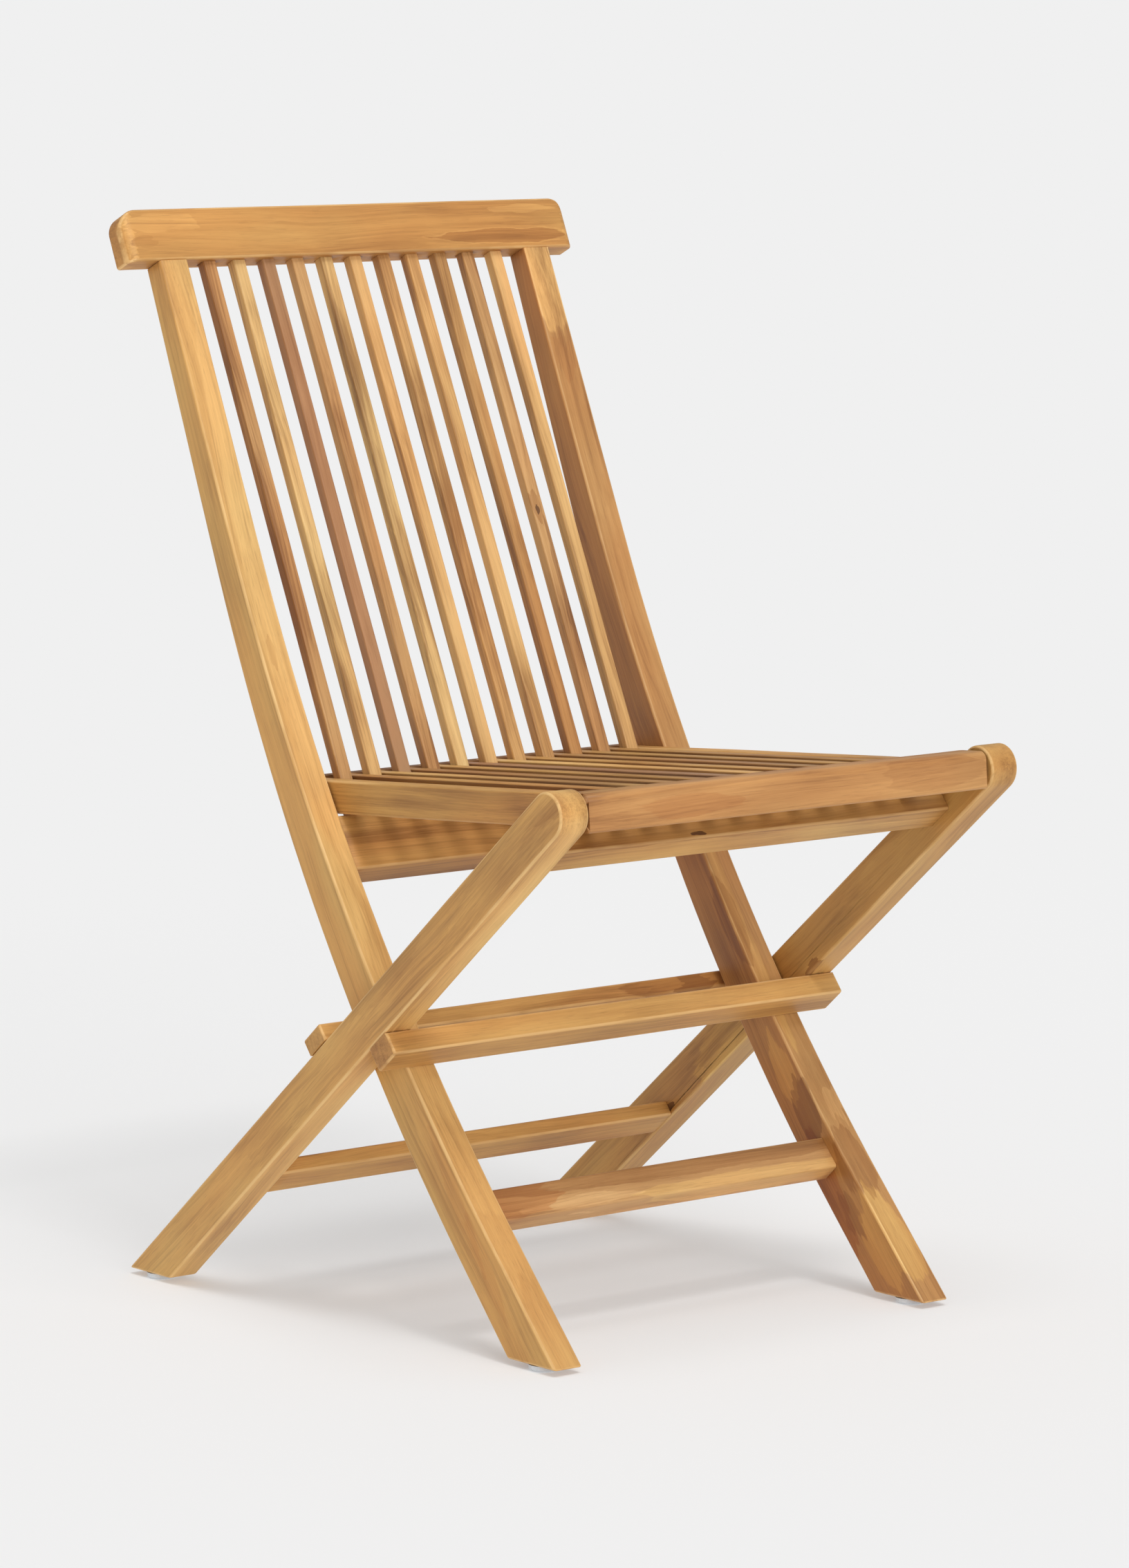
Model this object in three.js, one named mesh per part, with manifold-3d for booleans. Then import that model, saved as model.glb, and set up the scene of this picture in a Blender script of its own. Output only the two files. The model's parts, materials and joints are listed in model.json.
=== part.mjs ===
// Teak folding chair: an inner back frame and an outer leg frame cross on two
// hidden pivots, and a slatted seat hangs on pins at the tops of the outer legs.
// Its slats pass between the back slats, so the seat slides up behind them when
// the chair folds flat. Millimetres, +Z up, the sitter faces -Y.
// The origin is on the floor, in the middle of the chair's footprint.

import * as THREE from 'three';
import { mergeVertices } from 'three/addons/utils/BufferGeometryUtils.js';
import Module from 'manifold-3d';

const wasm = await Module();
wasm.setup();

// ---------------------------------------------------------------- sizes (mm)
const chairWidth = 458;          // over the outer faces of the legs

// back stiles: straight, bowed, straight; each deeper at the foot than at the top
const stileThickness = 27;
const stileFootDepth = 45;
const stileTopDepth = 22.5;
const stileTaper = 1.4;          // above 1 keeps the depth longer near the foot
const lowerRun = 121;            // straight length above the foot
const upperRun = 261;            // straight length below the top rail
const bowRadius = 1751;
const footLean = rad(42.7);      // from vertical
const backLean = rad(22.7);

// outer legs
const legThickness = 27;
const legDepth = 37.5;
const legLean = rad(52);
const pivotRun = 320;            // foot to crossing pivot, along the stile
const pivotToSeat = 331;         // crossing pivot to seat pivot, along the leg

// rails, bars and stretchers: height along their frame, depth across it
const topRail = { height: 45, cornerRadius: 16 };
const lowerBackRail = { height: 48, depth: 32, setback: 1 };
const frontStretcher = { height: 29, depth: 20, run: 158 };
const underSeatRail = { height: 28, depth: 18, setback: 12 };
const rearStretcher = { height: 32, depth: 14, below: 215.5, setback: 1 };
const frontStopBar = { height: 28.5, depth: 20 };
const rearStopBar = { height: 27.5, depth: 15, stileGap: 7 };

// slats
const backSlatCount = 11;
const backSlat = { width: 12.1, depth: 10.4, topSetback: 6.5, footSetback: 12.5 };
const seatSlatDepth = 12;

// seat
const seatTilt = rad(3.1);       // lower at the rear
const seatFrontRail = { height: 30, depth: 30 };
const seatRearRail = { height: 20, depth: 18 };
const sideRail = { thickness: 16, height: 27 };
const slatDrop = 3;              // slat tops below the front rail's top
const sideRailDrop = 4;          // side rail tops below the front rail's top

// joinery and hardware
const tenonLength = 15;
const tenonShoulder = 4;         // step between a rail and its tenon
const housing = 9;               // how far a slat or side rail enters a rail
const pinRadius = 4;
const pinDepth = 17;             // blind hole in the wood
const washerRadius = 10;
const glideInset = 0.5;          // glides stay inside the thinner member's faces
const glideHeight = 5;
const glideChamfer = 2;
const nailRadius = 1.3;
const nailLength = 14;
const dowelRadius = 4;
const dowelDepth = 11;

// clearances
const fit = 0.3;                 // between pieces that touch
const pivotGap = 1.8;            // leg to stile, filled by a washer
const seatPivotGap = 3;          // leg to seat front rail, filled by a washer
const runGap = 1.9;              // beside a slat that passes another
const slideGap = 14;             // back slats to rear seat rail, room for the fold
const restGap = 0.5;             // seat to the rail it rests on
const underSeatGap = 2;          // under-seat rail to the seat's side rails
const roundSegments = 24;
const cornerSegments = 8;
const bowSteps = 26;
const taperSteps = 4;

// ------------------------------------------------------------- shared places
const legOuter = chairWidth / 2;
const legInner = legOuter - legThickness;
const stileOuter = legInner - pivotGap;
const stileInner = stileOuter - stileThickness;
const seatRailEnd = legInner - seatPivotGap;
const sideRailOuter = stileInner - runGap;
const sideRailInner = sideRailOuter - sideRail.thickness;
const slatZone = sideRailInner - runGap;
const slatPitch = (2 * slatZone - backSlat.width) / (backSlatCount - 1);
const seatSlatCount = backSlatCount - 1;
const seatSlatWidth = slatPitch - backSlat.width - 2 * runGap;
const glideRadius = Math.min(stileThickness, legThickness) / 2 - glideInset;
const bowRun = bowRadius * (footLean - backLean);
const stileLength = lowerRun + bowRun + upperRun;

function rad(degrees) {
  return degrees * Math.PI / 180;
}

// -------------------------------------------------------------- side geometry
// Places in the side view are [y, z]. A frame in the side view has an origin and
// a lean: its "up" points along the piece and its "back" square to that.
function frame(y, z, lean) {
  return { y, z, lean };
}

function place(f, back, up) {
  return [
    f.y + back * Math.cos(f.lean) + up * Math.sin(f.lean),
    f.z - back * Math.sin(f.lean) + up * Math.cos(f.lean),
  ];
}

function locate(f, [y, z]) {
  const dy = y - f.y;
  const dz = z - f.z;
  return {
    back: dy * Math.cos(f.lean) - dz * Math.sin(f.lean),
    up: dy * Math.sin(f.lean) + dz * Math.cos(f.lean),
  };
}

// the stile's front edge at a run from the foot
function station(run) {
  const low = Math.min(run, lowerRun);
  const bow = Math.min(Math.max(run - lowerRun, 0), bowRun);
  const high = Math.max(run - lowerRun - bowRun, 0);
  const lean = footLean - bow / bowRadius;
  return frame(
    low * Math.sin(footLean) + bowRadius * (Math.cos(lean) - Math.cos(footLean))
      + high * Math.sin(backLean),
    glideHeight + low * Math.cos(footLean)
      + bowRadius * (Math.sin(footLean) - Math.sin(lean)) + high * Math.cos(backLean),
    lean,
  );
}

function stileDepth(run) {
  const share = (run / stileLength) ** stileTaper;
  return stileFootDepth - (stileFootDepth - stileTopDepth) * share;
}

// the run at which a falling measure of the stile reaches zero
function findRun(measure, from, to) {
  let low = from;
  let high = to;
  for (let i = 0; i < 50; i += 1) {
    const middle = (low + high) / 2;
    if (measure(middle) > 0) low = middle;
    else high = middle;
  }
  return (low + high) / 2;
}

// crossing pivot, on the stile's middle line
const pivotStation = station(pivotRun);
const [pivotY, pivotZ] = place(pivotStation, stileDepth(pivotRun) / 2, 0);
const legFrame = frame(pivotY, pivotZ, -legLean);
const [seatY, seatZ] = place(legFrame, 0, pivotToSeat);
const seatFrame = frame(seatY, seatZ, seatTilt);

// heights in the seat's frame
const seatTop = seatFrontRail.height / 2;
const slatTop = seatTop - slatDrop;
const sideTop = seatTop - sideRailDrop;
const sideBottom = sideTop - sideRail.height;

// the lower back rail sits where the seat's side rails come to rest on it
const lowerRailTopRun = findRun((run) => {
  const corner = place(station(run), lowerBackRail.setback, 0);
  return sideBottom - restGap - locate(seatFrame, corner).up;
}, lowerRun, stileLength);
const lowerRailFrame = station(lowerRailTopRun - lowerBackRail.height / 2);
const topFrame = station(stileLength);

// the back slats run straight from the lower back rail to the top rail
const slatFoot = place(
  lowerRailFrame,
  backSlat.footSetback + backSlat.depth / 2,
  lowerBackRail.height / 2,
);
const slatHead = place(topFrame, backSlat.topSetback + backSlat.depth / 2, 0);
const slatLean = Math.atan2(slatHead[0] - slatFoot[0], slatHead[1] - slatFoot[1]);
const slatSpan = Math.hypot(slatHead[0] - slatFoot[0], slatHead[1] - slatFoot[1]);
const slatFrame = frame(slatFoot[0], slatFoot[1], slatLean);

// the rear seat rail stands clear behind the back slats
const rearRailUp = slatTop - seatRearRail.height / 2;
const slatToSeat = slatLean - seatTilt;
const rearRailReach = backSlat.depth / 2 + slideGap
  + seatRearRail.depth / 2 * Math.cos(slatToSeat)
  + seatRearRail.height / 2 * Math.abs(Math.sin(slatToSeat));
const pivotBehindSlats = locate(slatFrame, place(seatFrame, 0, rearRailUp)).back;
const rearRailBack = (rearRailReach - pivotBehindSlats) / Math.cos(slatToSeat);

// the bars that stop the stiles: how far the stile's faces are along the leg
function stileAlongLeg(back, depthShare) {
  const run = findRun((t) => {
    const edge = place(station(t), depthShare * stileDepth(t), 0);
    return back - locate(legFrame, edge).back;
  }, 0, stileLength);
  return locate(legFrame, place(station(run), depthShare * stileDepth(run), 0)).up;
}

const legFront = -legDepth / 2;
const legBack = legDepth / 2;

// the under-seat rail lies just below the seat's side rails
const underSeatBack = [
  legFront + underSeatRail.setback,
  legFront + underSeatRail.setback + underSeatRail.depth,
];
const underSeatHighest = Math.max(...underSeatBack.map(
  (back) => locate(seatFrame, place(legFrame, back, 0)).up,
));
const underSeatTop = (sideBottom - underSeatGap - underSeatHighest)
  / Math.cos(legLean + seatTilt);

const frontBarLow = restGap + Math.max(
  stileAlongLeg(legFront, 0),
  stileAlongLeg(legFront - frontStopBar.depth, 0),
);
const rearBarHigh = -rearStopBar.stileGap + Math.min(
  stileAlongLeg(legBack, 1),
  stileAlongLeg(legBack + rearStopBar.depth, 1),
);

// -------------------------------------------------------------------- solids
const sideToSpace = new THREE.Matrix4().makeBasis(
  new THREE.Vector3(0, 1, 0),
  new THREE.Vector3(0, 0, 1),
  new THREE.Vector3(1, 0, 0),
);

// a side-view outline, as thick as the span between two X values
function prism(outline, xFrom, xTo) {
  const shape = new THREE.Shape(outline.map(([y, z]) => new THREE.Vector2(y, z)));
  const depth = Math.abs(xTo - xFrom);
  const geometry = new THREE.ExtrudeGeometry(shape, { depth, bevelEnabled: false });
  return geometry.applyMatrix4(sideToSpace).translate(Math.min(xFrom, xTo), 0, 0);
}

// a rectangle in a side-view frame: [back, up] ranges
function rectangle(f, back, up) {
  return [
    place(f, back[0], up[0]),
    place(f, back[1], up[0]),
    place(f, back[1], up[1]),
    place(f, back[0], up[1]),
  ];
}

function grow([from, to], by) {
  return [Math.min(from, to) - by, Math.max(from, to) + by];
}

// a square-edged bar: its frame and its ranges across, along and sideways
function bar(f, back, up, x) {
  return { f, back, up, x };
}

function barGeometry(b, by = 0) {
  return prism(rectangle(b.f, grow(b.back, by), grow(b.up, by)), ...grow(b.x, by));
}

// a round pin along X
function pinGeometry([y, z], radius, x) {
  const [from, to] = grow(x, 0);
  const geometry = new THREE.CylinderGeometry(radius, radius, to - from, roundSegments);
  return geometry.rotateZ(Math.PI / 2).translate((from + to) / 2, y, z);
}

// a round dowel that lies across a leg
function dowelGeometry(f, back, up, x, radius) {
  const [from, to] = grow(back, 0);
  const geometry = new THREE.CylinderGeometry(radius, radius, to - from, roundSegments);
  const [y, z] = place(f, (from + to) / 2, up);
  return geometry.rotateX(-f.lean).translate(x, y, z);
}

function solid(geometry) {
  const bare = geometry.clone();
  bare.deleteAttribute('normal');
  bare.deleteAttribute('uv');
  const merged = mergeVertices(bare, 1e-4);
  return new wasm.Manifold(new wasm.Mesh({
    numProp: 3,
    vertProperties: new Float32Array(merged.attributes.position.array),
    triVerts: new Uint32Array(merged.index.array),
  }));
}

function combine(geometry, { add = [], cut = [] }) {
  let body = solid(geometry);
  for (const extra of add) body = body.add(solid(extra));
  for (const tool of cut) body = body.subtract(solid(tool));
  const mesh = body.getMesh();
  const result = new THREE.BufferGeometry();
  result.setAttribute('position', new THREE.BufferAttribute(mesh.vertProperties, 3));
  result.setIndex(new THREE.BufferAttribute(mesh.triVerts, 1));
  result.computeVertexNormals();
  return result;
}

// ----------------------------------------------------------------- materials
const finishes = {
  honey: { color: 0xc8924f, roughness: 0.55, metalness: 0 },
  golden: { color: 0xd6a566, roughness: 0.55, metalness: 0 },
  brown: { color: 0xa9713c, roughness: 0.58, metalness: 0 },
  steel: { color: 0x9a9a98, roughness: 0.35, metalness: 1 },
  beech: { color: 0xd9bd92, roughness: 0.7, metalness: 0 },
  plastic: { color: 0xdfe3e6, roughness: 0.45, metalness: 0 },
};

function mesh(name, geometry, finish) {
  const result = new THREE.Mesh(geometry, new THREE.MeshStandardMaterial(finishes[finish]));
  result.name = name;
  return result;
}

const sides = [{ side: 'right', sign: -1 }, { side: 'left', sign: 1 }];
const twoDigits = (number) => String(number).padStart(2, '0');
const bothWays = (half) => [-half, half];

// ------------------------------------------------- bars shared by the pieces
function tenon(b, sign) {
  return bar(
    b.f,
    grow(b.back, -tenonShoulder),
    grow(b.up, -tenonShoulder),
    [sign * (Math.max(...b.x) - tenonShoulder), sign * (Math.max(...b.x) + tenonLength)],
  );
}

function centred(f, back, up, halfWidth) {
  return bar(f, back, up, bothWays(halfWidth));
}

const frontStretcherFrame = station(frontStretcher.run);
const frontStretcherMiddle = stileDepth(frontStretcher.run) / 2;
const bars = {
  lowerBackRail: centred(
    lowerRailFrame,
    [lowerBackRail.setback, lowerBackRail.setback + lowerBackRail.depth],
    bothWays(lowerBackRail.height / 2),
    stileInner - fit,
  ),
  frontStretcher: centred(
    frontStretcherFrame,
    [
      frontStretcherMiddle - frontStretcher.depth / 2,
      frontStretcherMiddle + frontStretcher.depth / 2,
    ],
    bothWays(frontStretcher.height / 2),
    stileInner - fit,
  ),
  underSeatRail: centred(
    legFrame,
    underSeatBack,
    [underSeatTop - underSeatRail.height, underSeatTop],
    legInner - fit,
  ),
  rearStretcher: centred(
    legFrame,
    [legFront + rearStretcher.setback, legFront + rearStretcher.setback + rearStretcher.depth],
    [-rearStretcher.below, -rearStretcher.below + rearStretcher.height],
    legInner - fit,
  ),
  frontStopBar: centred(
    legFrame,
    [legFront - fit - frontStopBar.depth, legFront - fit],
    [frontBarLow, frontBarLow + frontStopBar.height],
    legOuter,
  ),
  rearStopBar: centred(
    legFrame,
    [legBack + fit, legBack + fit + rearStopBar.depth],
    [rearBarHigh - rearStopBar.height, rearBarHigh],
    legOuter,
  ),
  seatFrontRail: centred(
    seatFrame,
    bothWays(seatFrontRail.depth / 2),
    bothWays(seatFrontRail.height / 2),
    seatRailEnd,
  ),
  seatRearRail: centred(
    seatFrame,
    [rearRailBack - seatRearRail.depth / 2, rearRailBack + seatRearRail.depth / 2],
    [rearRailUp - seatRearRail.height / 2, rearRailUp + seatRearRail.height / 2],
    sideRailOuter,
  ),
};

// how far each member enters the rail at its end
const seatSlatBack = [
  seatFrontRail.depth / 2 - housing,
  rearRailBack - seatRearRail.depth / 2 + housing,
];
const sideRailBack = [
  seatFrontRail.depth / 2 + fit,
  rearRailBack - seatRearRail.depth / 2 - fit,
];

const seatSlats = Array.from({ length: seatSlatCount }, (_, i) => {
  const x = (i - (seatSlatCount - 1) / 2) * slatPitch;
  const half = seatSlatWidth / 2;
  return bar(seatFrame, seatSlatBack, [slatTop - seatSlatDepth, slatTop], [x - half, x + half]);
});

const backSlats = Array.from({ length: backSlatCount }, (_, i) => {
  const x = (i - (backSlatCount - 1) / 2) * slatPitch;
  const half = backSlat.width / 2;
  return bar(
    slatFrame,
    bothWays(backSlat.depth / 2),
    [-housing, slatSpan + housing],
    [x - half, x + half],
  );
});

function sideRailTenon(sign, end) {
  const middle = (sideRailInner + sideRailOuter) / 2;
  const half = sideRail.thickness / 2 - tenonShoulder;
  const [near, far] = sideRailBack;
  const back = end === 'front'
    ? [near - housing, near + tenonShoulder]
    : [far - tenonShoulder, far + housing];
  const up = [rearRailUp - seatRearRail.height / 2 + tenonShoulder, sideTop - tenonShoulder];
  return bar(seatFrame, back, up, [sign * middle - half, sign * middle + half]);
}

function stileTenon(sign) {
  const middle = sign * (stileInner + stileOuter) / 2;
  const half = stileThickness / 2 - tenonShoulder;
  const back = [tenonShoulder, stileTopDepth - tenonShoulder];
  return bar(topFrame, back, [-tenonShoulder, tenonLength], [middle - half, middle + half]);
}

// ------------------------------------------------------------ hidden hardware
const pinX = (sign, from) => [sign * (from - pinDepth), sign * (legInner + pinDepth)];
const pivotPinX = (sign) => pinX(sign, stileOuter);
const seatPinX = (sign) => pinX(sign, seatRailEnd);
const legMiddle = (legInner + legOuter) / 2;

function pinHole(point, x) {
  return pinGeometry(point, pinRadius + fit, grow(x, fit));
}

function washer(point, x, thickness) {
  const shape = new THREE.Shape().absarc(0, 0, washerRadius, 0, 2 * Math.PI, false);
  shape.holes.push(new THREE.Path().absarc(0, 0, pinRadius + fit, 0, 2 * Math.PI, true));
  const settings = { depth: thickness, bevelEnabled: false, curveSegments: roundSegments };
  const geometry = new THREE.ExtrudeGeometry(shape, settings);
  return geometry.applyMatrix4(sideToSpace).translate(x, ...point);
}

// a plastic disc with the nail that holds it in the end of a foot
function glideGeometry(x, y, by = 0) {
  const profile = [
    [0, -by],
    [glideRadius - glideChamfer + by, -by],
    [glideRadius + by, glideChamfer],
    [glideRadius + by, glideHeight - fit + by],
    [nailRadius + by, glideHeight - fit + by],
    [nailRadius + by, glideHeight + nailLength + by],
    [0, glideHeight + nailLength + by],
  ].map(([r, z]) => new THREE.Vector2(r, z));
  return new THREE.LatheGeometry(profile, roundSegments).rotateX(Math.PI / 2).translate(x, y, 0);
}

function nailHole(x, y) {
  const radius = nailRadius + fit;
  const length = nailLength + 2 * fit;
  const geometry = new THREE.CylinderGeometry(radius, radius, length, roundSegments);
  return geometry.rotateX(Math.PI / 2).translate(x, y, glideHeight + nailLength - length / 2 + fit);
}

const legFootUp = (back) => (glideHeight - pivotZ - back * Math.sin(legLean)) / Math.cos(legLean);
const stileGlideY = stileFootDepth / Math.cos(footLean) / 2;
const legGlideY = place(legFrame, 0, legFootUp(0))[0];

// the dowels that hold the stop bars on the legs
const dowels = {
  front: {
    back: [legFront - fit - dowelDepth, legFront + dowelDepth],
    up: frontBarLow + frontStopBar.height / 2,
  },
  rear: {
    back: [legBack - dowelDepth, legBack + fit + dowelDepth],
    up: rearBarHigh - rearStopBar.height / 2,
  },
};

function barDowel(which, sign, by = 0) {
  const { back, up } = dowels[which];
  return dowelGeometry(legFrame, grow(back, by), up, sign * legMiddle, dowelRadius + by);
}

// -------------------------------------------------------------------- pieces
function stile({ side, sign }) {
  const runs = [];
  for (let i = 0; i <= bowSteps; i += 1) runs.push(lowerRun + (bowRun * i) / bowSteps);
  const front = runs.map((run) => place(station(run), 0, 0));
  // the rear edge still curves gently above the bow, as the depth tapers
  for (let i = 1; i < taperSteps; i += 1) runs.push(stileLength - upperRun * (1 - i / taperSteps));
  const rear = runs.map((run) => place(station(run), stileDepth(run), 0));
  const outline = [
    [0, glideHeight],
    [stileFootDepth / Math.cos(footLean), glideHeight],
    ...rear,
    place(topFrame, stileTopDepth, -fit),
    place(topFrame, 0, -fit),
    ...front.reverse(),
  ];
  const x = [sign * stileInner, sign * stileOuter];
  const geometry = combine(prism(outline, ...x), {
    add: [barGeometry(stileTenon(sign))],
    cut: [
      barGeometry(tenon(bars.lowerBackRail, sign), fit),
      barGeometry(tenon(bars.frontStretcher, sign), fit),
      pinHole([pivotY, pivotZ], pivotPinX(sign)),
      nailHole(sign * (stileInner + stileOuter) / 2, stileGlideY),
    ],
  });
  return mesh(`${side}_stile`, geometry, 'golden');
}

function leg({ side, sign }) {
  const arc = [];
  for (let i = 0; i <= roundSegments; i += 1) {
    const turn = (Math.PI * i) / roundSegments;
    arc.push(place(legFrame, legBack * Math.cos(turn), pivotToSeat + legBack * Math.sin(turn)));
  }
  const outline = [
    place(legFrame, legFront, legFootUp(legFront)),
    place(legFrame, legBack, legFootUp(legBack)),
    ...arc,
  ];
  const geometry = combine(prism(outline, sign * legInner, sign * legOuter), {
    cut: [
      barGeometry(tenon(bars.underSeatRail, sign), fit),
      barGeometry(tenon(bars.rearStretcher, sign), fit),
      pinHole([pivotY, pivotZ], pivotPinX(sign)),
      pinHole([seatY, seatZ], seatPinX(sign)),
      barDowel('front', sign, fit),
      barDowel('rear', sign, fit),
      nailHole(sign * legMiddle, legGlideY),
    ],
  });
  return mesh(`${side}_outer_leg`, geometry, 'honey');
}

// a rail between two members, with a tenon at each end
function tenonedRail(name, b, finish, cut = []) {
  const add = sides.map(({ sign }) => barGeometry(tenon(b, sign)));
  return mesh(name, combine(barGeometry(b), { add, cut }), finish);
}

function stopBar(name, b, which) {
  const cut = sides.map(({ sign }) => barDowel(which, sign, fit));
  return mesh(name, combine(barGeometry(b), { cut }), 'honey');
}

// the top rail overhangs the stiles, and its upper corners are rounded
function topRailMesh() {
  const half = chairWidth / 2;
  const { height, cornerRadius: r } = topRail;
  const shape = new THREE.Shape()
    .moveTo(-half, 0)
    .lineTo(half, 0)
    .lineTo(half, height - r)
    .absarc(half - r, height - r, r, 0, Math.PI / 2, false)
    .lineTo(-half + r, height)
    .absarc(-half + r, height - r, r, Math.PI / 2, Math.PI, false);
  const settings = { depth: stileTopDepth, bevelEnabled: false, curveSegments: cornerSegments };
  const toSpace = new THREE.Matrix4().makeBasis(
    new THREE.Vector3(1, 0, 0),
    new THREE.Vector3(0, Math.sin(backLean), Math.cos(backLean)),
    new THREE.Vector3(0, -Math.cos(backLean), Math.sin(backLean)),
  );
  const [y, z] = place(topFrame, stileTopDepth, 0);
  const geometry = new THREE.ExtrudeGeometry(shape, settings)
    .applyMatrix4(toSpace)
    .translate(0, y, z);
  const cut = [
    ...sides.map(({ sign }) => barGeometry(stileTenon(sign), fit)),
    ...backSlats.map((slat) => barGeometry(slat, fit)),
  ];
  return mesh('top_rail', combine(geometry, { cut }), 'honey');
}

function seatFrontRailMesh() {
  const cut = [
    ...seatSlats.map((slat) => barGeometry(slat, fit)),
    ...sides.map(({ sign }) => barGeometry(sideRailTenon(sign, 'front'), fit)),
    ...sides.map(({ sign }) => pinHole([seatY, seatZ], seatPinX(sign))),
  ];
  return mesh('seat_front_rail', combine(barGeometry(bars.seatFrontRail), { cut }), 'honey');
}

function seatRearRailMesh() {
  const cut = [
    ...seatSlats.map((slat) => barGeometry(slat, fit)),
    ...sides.map(({ sign }) => barGeometry(sideRailTenon(sign, 'rear'), fit)),
  ];
  return mesh('seat_rear_rail', combine(barGeometry(bars.seatRearRail), { cut }), 'brown');
}

function seatSideRail({ side, sign }) {
  const x = [sign * sideRailInner, sign * sideRailOuter];
  const board = bar(seatFrame, sideRailBack, [sideBottom, sideTop], x);
  const add = ['front', 'rear'].map((end) => barGeometry(sideRailTenon(sign, end)));
  return mesh(`${side}_seat_side_rail`, combine(barGeometry(board), { add }), 'honey');
}

function glide(name, x, y) {
  return mesh(name, glideGeometry(x, y), 'plastic');
}

// -------------------------------------------------------------------- frames
const backFrame = new THREE.Group();
const outerFrame = new THREE.Group();
const seat = new THREE.Group();

for (const hand of sides) {
  const { side, sign } = hand;
  const stileMiddle = sign * (stileInner + stileOuter) / 2;
  const pivot = [pivotY, pivotZ];
  const pivotWasherX = sign > 0 ? stileOuter + fit : -legInner + fit;
  const seatWasherX = sign > 0 ? seatRailEnd + fit : -legInner + fit;
  backFrame.add(
    stile(hand),
    glide(`${side}_front_foot_glide`, stileMiddle, stileGlideY),
    mesh(`${side}_pivot_washer`, washer(pivot, pivotWasherX, pivotGap - 2 * fit), 'steel'),
  );
  outerFrame.add(
    leg(hand),
    glide(`${side}_rear_foot_glide`, sign * legMiddle, legGlideY),
    mesh(`${side}_pivot_pin`, pinGeometry(pivot, pinRadius, pivotPinX(sign)), 'steel'),
    mesh(`${side}_seat_pin`, pinGeometry([seatY, seatZ], pinRadius, seatPinX(sign)), 'steel'),
    mesh(`${side}_front_bar_dowel`, barDowel('front', sign), 'beech'),
    mesh(`${side}_rear_bar_dowel`, barDowel('rear', sign), 'beech'),
  );
  seat.add(
    seatSideRail(hand),
    mesh(
      `${side}_seat_washer`,
      washer([seatY, seatZ], seatWasherX, seatPivotGap - 2 * fit),
      'steel',
    ),
  );
}

backFrame.add(
  topRailMesh(),
  tenonedRail(
    'lower_back_rail',
    bars.lowerBackRail,
    'honey',
    backSlats.map((slat) => barGeometry(slat, fit)),
  ),
  tenonedRail('front_stretcher', bars.frontStretcher, 'honey'),
);
const slatFinishes = ['honey', 'golden', 'brown'];
backSlats.forEach((slat, i) => {
  const finish = slatFinishes[i % slatFinishes.length];
  backFrame.add(mesh(`back_slat_${twoDigits(i + 1)}`, barGeometry(slat), finish));
});

outerFrame.add(
  tenonedRail('under_seat_rail', bars.underSeatRail, 'honey'),
  tenonedRail('rear_stretcher', bars.rearStretcher, 'brown'),
  stopBar('front_stop_bar', bars.frontStopBar, 'front'),
  stopBar('rear_stop_bar', bars.rearStopBar, 'rear'),
);

seat.add(seatFrontRailMesh(), seatRearRailMesh());
seatSlats.forEach((slat, i) => {
  seat.add(mesh(`seat_slat_${twoDigits(i + 1)}`, barGeometry(slat), 'honey'));
});

const group = new THREE.Group();
group.add(backFrame, outerFrame, seat);

// the origin is on the floor, midway between the chair's front and back
const extent = new THREE.Box3().setFromObject(group);
group.position.set(0, -(extent.min.y + extent.max.y) / 2, 0);
group.updateMatrixWorld(true);

export default group;
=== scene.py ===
import json
import math

import bmesh
import bpy
import numpy as np
from mathutils import Matrix, Vector, noise
from mathutils.bvhtree import BVHTree

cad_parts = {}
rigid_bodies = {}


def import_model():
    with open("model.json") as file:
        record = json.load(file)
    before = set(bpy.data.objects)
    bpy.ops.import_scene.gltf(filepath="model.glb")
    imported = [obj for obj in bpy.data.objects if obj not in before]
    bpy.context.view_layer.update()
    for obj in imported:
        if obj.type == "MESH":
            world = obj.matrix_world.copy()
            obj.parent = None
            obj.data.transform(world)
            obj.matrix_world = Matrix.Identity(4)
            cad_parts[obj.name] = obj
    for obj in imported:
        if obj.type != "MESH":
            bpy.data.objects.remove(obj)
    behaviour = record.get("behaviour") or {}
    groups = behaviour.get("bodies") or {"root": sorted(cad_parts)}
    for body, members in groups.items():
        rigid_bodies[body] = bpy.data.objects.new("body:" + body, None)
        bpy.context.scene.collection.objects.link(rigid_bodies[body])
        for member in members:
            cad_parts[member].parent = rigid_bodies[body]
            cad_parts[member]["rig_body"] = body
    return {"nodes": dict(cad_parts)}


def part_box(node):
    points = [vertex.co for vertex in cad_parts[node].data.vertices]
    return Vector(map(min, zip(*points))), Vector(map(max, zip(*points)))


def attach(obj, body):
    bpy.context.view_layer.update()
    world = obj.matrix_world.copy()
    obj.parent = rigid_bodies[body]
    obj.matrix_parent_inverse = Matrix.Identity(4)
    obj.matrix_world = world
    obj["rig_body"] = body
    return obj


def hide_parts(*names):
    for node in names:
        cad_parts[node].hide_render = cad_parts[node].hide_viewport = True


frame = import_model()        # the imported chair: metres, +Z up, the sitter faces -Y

MM = 0.001
NOISE_SEED = 7                           # without one, the noise takes the clock's
noise.seed_set(NOISE_SEED)
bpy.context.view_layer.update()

# ------------------------------------------------------------------ camera
CAMERA_PLACE = Vector((-2.7853, -3.6454, 0.9727))
CAMERA_TURN = math.radians(-37.45)       # azimuth of the view
CAMERA_TILT = math.radians(-6.87)        # below the horizon
CAMERA_ROLL = math.radians(-0.85)
CAMERA_LENS = 130.6                      # mm, on a 36 mm long side


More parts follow.
